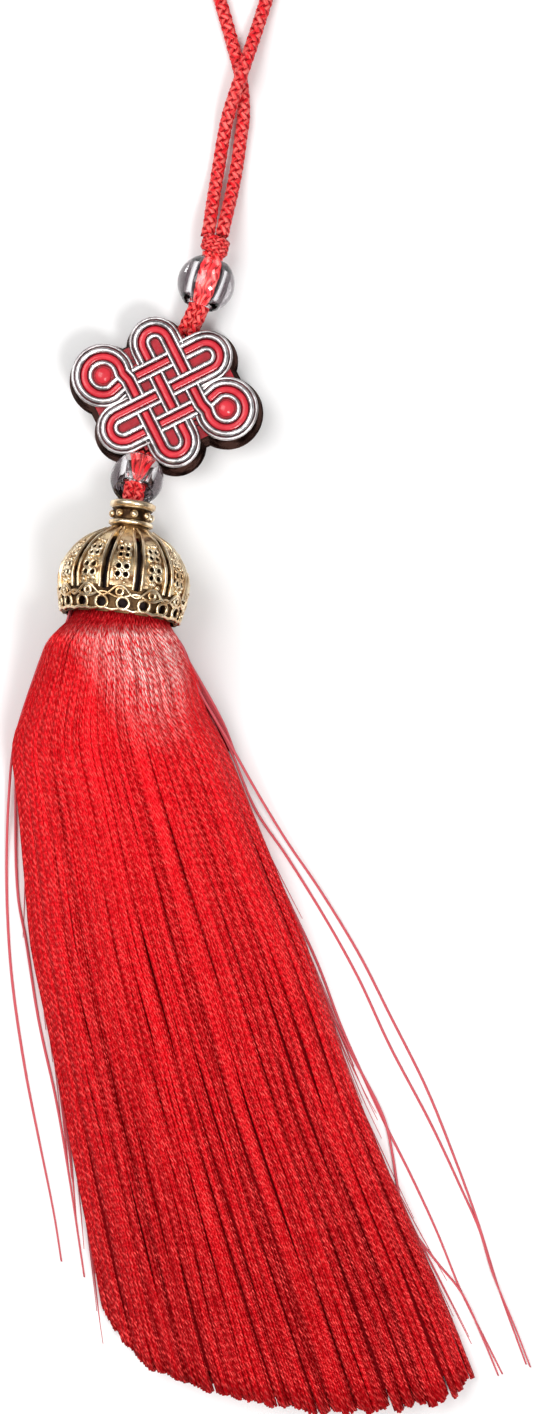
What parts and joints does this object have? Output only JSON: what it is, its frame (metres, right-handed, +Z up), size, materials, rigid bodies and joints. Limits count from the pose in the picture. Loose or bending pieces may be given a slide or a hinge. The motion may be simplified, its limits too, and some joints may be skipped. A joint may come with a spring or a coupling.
{
  "type": "chinese knot tassel",
  "caption": "Red silk tassel with a pierced gold crown cap, an endless-knot charm between clear beads and a braided hanging loop, laid flat.",
  "frame": {"origin": "on the table, under the middle of everything but the free hanging loop", "axes": "+Y from the skirt's cut ends towards the hanging loop, +Z up off the table, +X to the right"},
  "size_m": [0.0648, 0.2076, 0.016],
  "materials": {
    "cord": "braided polyester cord with a soft sheen",
    "silk": "twisted silk thread with a bright sheen",
    "clear_glass": "clear polished glass",
    "charm_alloy": "tumbled silver-coloured casting with red enamel between the rails",
    "antique_gold": "antique gold plate, bright on the edges and brown in the recesses"
  },
  "bodies": {
    "root": {"loop_cord": "cord", "stopper_knot": "cord", "stem_cord": "cord", "upper_bead": "clear_glass", "charm": "charm_alloy", "lower_bead": "clear_glass", "cap": "antique_gold", "tassel_skirt": "silk"}
  },
  "joints": []
}
